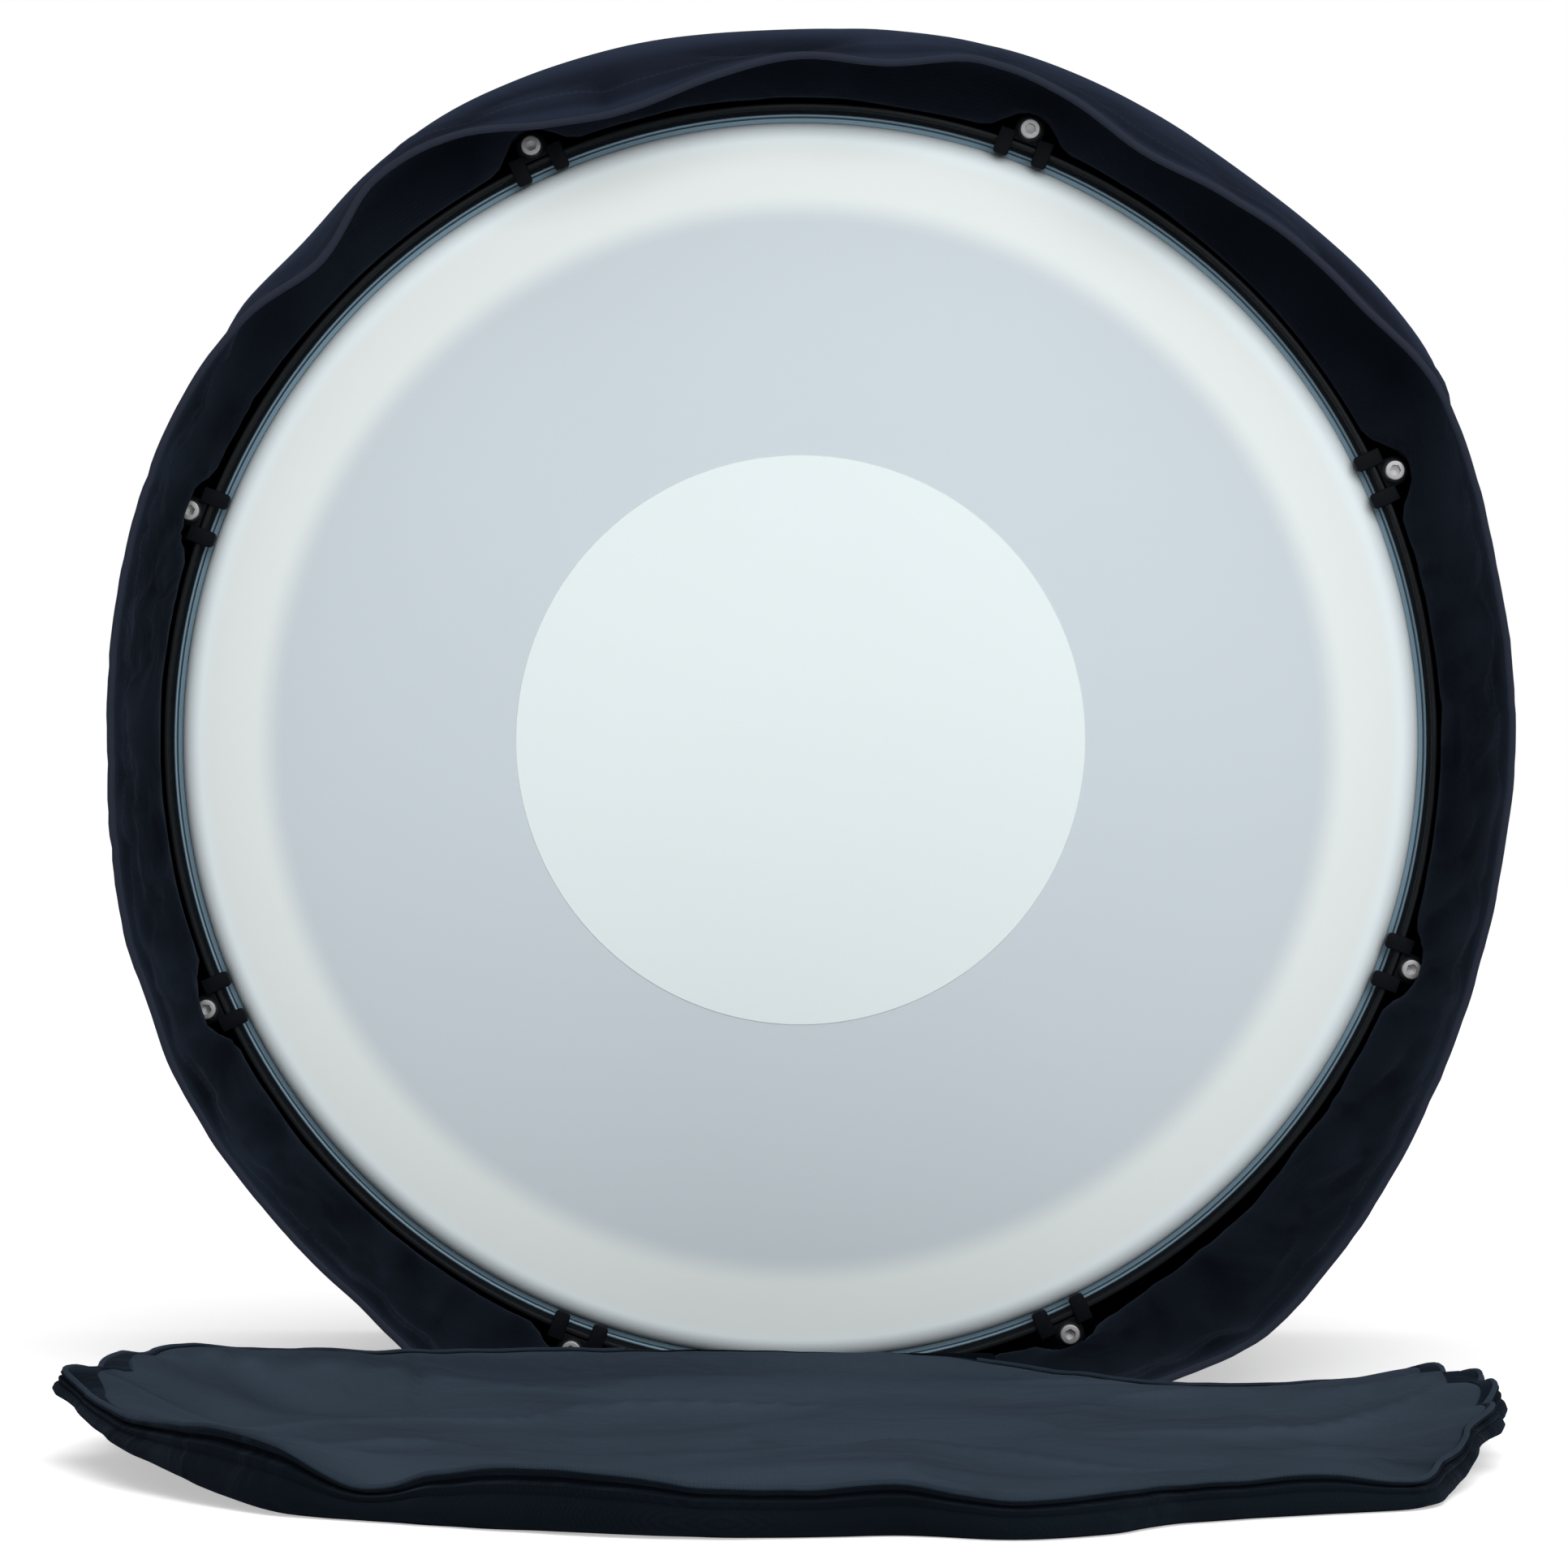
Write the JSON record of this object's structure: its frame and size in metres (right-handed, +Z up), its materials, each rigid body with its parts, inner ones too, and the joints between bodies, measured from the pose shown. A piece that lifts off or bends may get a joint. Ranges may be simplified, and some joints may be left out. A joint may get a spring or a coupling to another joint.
{
  "type": "marching bass drum in an open bag",
  "caption": "Double-headed marching bass drum with white heads, black hoops and claw-held tension rods, standing in its open dark cloth bag with the bag's lid folded down in front.",
  "frame": {"origin": "on the ground, on the flat underside of the bag, straight below the middle of the drum", "axes": "+Z up; the drum's axis runs along Y, and its front head and the bag's mouth face -Y; +X is to the right seen from the front"},
  "size_m": [0.6948, 1.0547, 0.668],
  "materials": {
    "shell_lacquer": "birch ply shell, black gloss lacquer outside and sealed ply inside",
    "head_film": "smooth white polyester film, slightly translucent",
    "dot_film": "satin white film, laminated",
    "damping_foam": "white foam strip",
    "flesh_hoop_aluminium": "extruded channel, natural",
    "hoop_black": "black powder coat with a bare bright inner lip",
    "rod_chrome": "bright plated steel",
    "casting_black": "black powder-coated casting",
    "fitting_chrome": "bright plated steel",
    "bag_cloth": "thin dark navy woven nylon, lined",
    "bag_binding": "folded dark navy binding tape"
  },
  "bodies": {
    "drum": {"shell": "shell_lacquer", "air_vent": "fitting_chrome", "rear_head": "head_film", "rear_flesh_hoop": "flesh_hoop_aluminium", "rear_counter_hoop": "hoop_black", "front_head": "head_film", "front_flesh_hoop": "flesh_hoop_aluminium", "front_counter_hoop": "hoop_black", "centre_dot": "dot_film", "damping_film_ring": "dot_film", "damping_foam_ring": "damping_foam", "lug_1": "casting_black", "rear_claw_1": "casting_black", "front_claw_1": "casting_black", "lug_2": "casting_black", "rear_claw_2": "casting_black", "front_claw_2": "casting_black", "lug_3": "casting_black", "rear_claw_3": "casting_black", "front_claw_3": "casting_black", "lug_4": "casting_black", "rear_claw_4": "casting_black", "front_claw_4": "casting_black", "lug_5": "casting_black", "rear_claw_5": "casting_black", "front_claw_5": "casting_black", "lug_6": "casting_black", "rear_claw_6": "casting_black", "front_claw_6": "casting_black", "lug_7": "casting_black", "rear_claw_7": "casting_black", "front_claw_7": "casting_black", "lug_8": "casting_black", "rear_claw_8": "casting_black", "front_claw_8": "casting_black", "front_eye_plate": "fitting_chrome", "rear_eye_plate": "fitting_chrome", "bag_back": "bag_cloth", "bag_side": "bag_cloth", "rim_binding": "bag_binding"},
    "rear_tension_rod_1": {"rear_tension_rod_1": "rod_chrome"},
    "front_tension_rod_1": {"front_tension_rod_1": "rod_chrome"},
    "rear_tension_rod_2": {"rear_tension_rod_2": "rod_chrome"},
    "front_tension_rod_2": {"front_tension_rod_2": "rod_chrome"},
    "rear_tension_rod_3": {"rear_tension_rod_3": "rod_chrome"},
    "front_tension_rod_3": {"front_tension_rod_3": "rod_chrome"},
    "rear_tension_rod_4": {"rear_tension_rod_4": "rod_chrome"},
    "front_tension_rod_4": {"front_tension_rod_4": "rod_chrome"},
    "rear_tension_rod_5": {"rear_tension_rod_5": "rod_chrome"},
    "front_tension_rod_5": {"front_tension_rod_5": "rod_chrome"},
    "rear_tension_rod_6": {"rear_tension_rod_6": "rod_chrome"},
    "front_tension_rod_6": {"front_tension_rod_6": "rod_chrome"},
    "rear_tension_rod_7": {"rear_tension_rod_7": "rod_chrome"},
    "front_tension_rod_7": {"front_tension_rod_7": "rod_chrome"},
    "rear_tension_rod_8": {"rear_tension_rod_8": "rod_chrome"},
    "front_tension_rod_8": {"front_tension_rod_8": "rod_chrome"},
    "front_carry_ring": {"front_carry_ring": "fitting_chrome"},
    "rear_carry_ring": {"rear_carry_ring": "fitting_chrome"},
    "bag_lid": {"bag_lid": "bag_cloth", "lid_piping": "bag_binding"}
  },
  "joints": [
    {"name": "rear_tension_rod_1_turn", "type": "hinge", "parent": "drum", "child": "rear_tension_rod_1", "pos_m": [0.29406, 0.08905, 0.45259], "axis": [0, 1, 0], "continuous": true},
    {"name": "front_tension_rod_1_turn", "type": "hinge", "parent": "drum", "child": "front_tension_rod_1", "pos_m": [0.29406, -0.08905, 0.45259], "axis": [0, -1, 0], "continuous": true},
    {"name": "rear_tension_rod_2_turn", "type": "hinge", "parent": "drum", "child": "rear_tension_rod_2", "pos_m": [0.11361, 0.08905, 0.62145], "axis": [0, 1, 0], "continuous": true},
    {"name": "front_tension_rod_2_turn", "type": "hinge", "parent": "drum", "child": "front_tension_rod_2", "pos_m": [0.11361, -0.08905, 0.62145], "axis": [0, -1, 0], "continuous": true},
    {"name": "rear_tension_rod_3_turn", "type": "hinge", "parent": "drum", "child": "rear_tension_rod_3", "pos_m": [-0.13339, 0.08905, 0.61326], "axis": [0, 1, 0], "continuous": true},
    {"name": "front_tension_rod_3_turn", "type": "hinge", "parent": "drum", "child": "front_tension_rod_3", "pos_m": [-0.13339, -0.08905, 0.61326], "axis": [0, -1, 0], "continuous": true},
    {"name": "rear_tension_rod_4_turn", "type": "hinge", "parent": "drum", "child": "rear_tension_rod_4", "pos_m": [-0.30225, 0.08905, 0.43281], "axis": [0, 1, 0], "continuous": true},
    {"name": "front_tension_rod_4_turn", "type": "hinge", "parent": "drum", "child": "front_tension_rod_4", "pos_m": [-0.30225, -0.08905, 0.43281], "axis": [0, -1, 0], "continuous": true},
    {"name": "rear_tension_rod_5_turn", "type": "hinge", "parent": "drum", "child": "rear_tension_rod_5", "pos_m": [-0.29406, 0.08905, 0.18581], "axis": [0, 1, 0], "continuous": true},
    {"name": "front_tension_rod_5_turn", "type": "hinge", "parent": "drum", "child": "front_tension_rod_5", "pos_m": [-0.29406, -0.08905, 0.18581], "axis": [0, -1, 0], "continuous": true},
    {"name": "rear_tension_rod_6_turn", "type": "hinge", "parent": "drum", "child": "rear_tension_rod_6", "pos_m": [-0.11361, 0.08905, 0.01695], "axis": [0, 1, 0], "continuous": true},
    {"name": "front_tension_rod_6_turn", "type": "hinge", "parent": "drum", "child": "front_tension_rod_6", "pos_m": [-0.11361, -0.08905, 0.01695], "axis": [0, -1, 0], "continuous": true},
    {"name": "rear_tension_rod_7_turn", "type": "hinge", "parent": "drum", "child": "rear_tension_rod_7", "pos_m": [0.13339, 0.08905, 0.02514], "axis": [0, 1, 0], "continuous": true},
    {"name": "front_tension_rod_7_turn", "type": "hinge", "parent": "drum", "child": "front_tension_rod_7", "pos_m": [0.13339, -0.08905, 0.02514], "axis": [0, -1, 0], "continuous": true},
    {"name": "rear_tension_rod_8_turn", "type": "hinge", "parent": "drum", "child": "rear_tension_rod_8", "pos_m": [0.30225, 0.08905, 0.20559], "axis": [0, 1, 0], "continuous": true},
    {"name": "front_tension_rod_8_turn", "type": "hinge", "parent": "drum", "child": "front_tension_rod_8", "pos_m": [0.30225, -0.08905, 0.20559], "axis": [0, -1, 0], "continuous": true},
    {"name": "front_carry_ring_swing", "type": "hinge", "parent": "drum", "child": "front_carry_ring", "pos_m": [-0.01028, -0.095, 0.62923], "axis": [0, 1, 0], "range_deg": [0, 160]},
    {"name": "rear_carry_ring_swing", "type": "hinge", "parent": "drum", "child": "rear_carry_ring", "pos_m": [-0.01028, 0.095, 0.62923], "axis": [0, 1, 0], "range_deg": [0, 160]},
    {"name": "lid_fold", "type": "hinge", "parent": "drum", "child": "bag_lid", "pos_m": [0, -0.2229, 0.02707], "axis": [-1, 0, 0], "range_deg": [0, 90]}
  ]
}
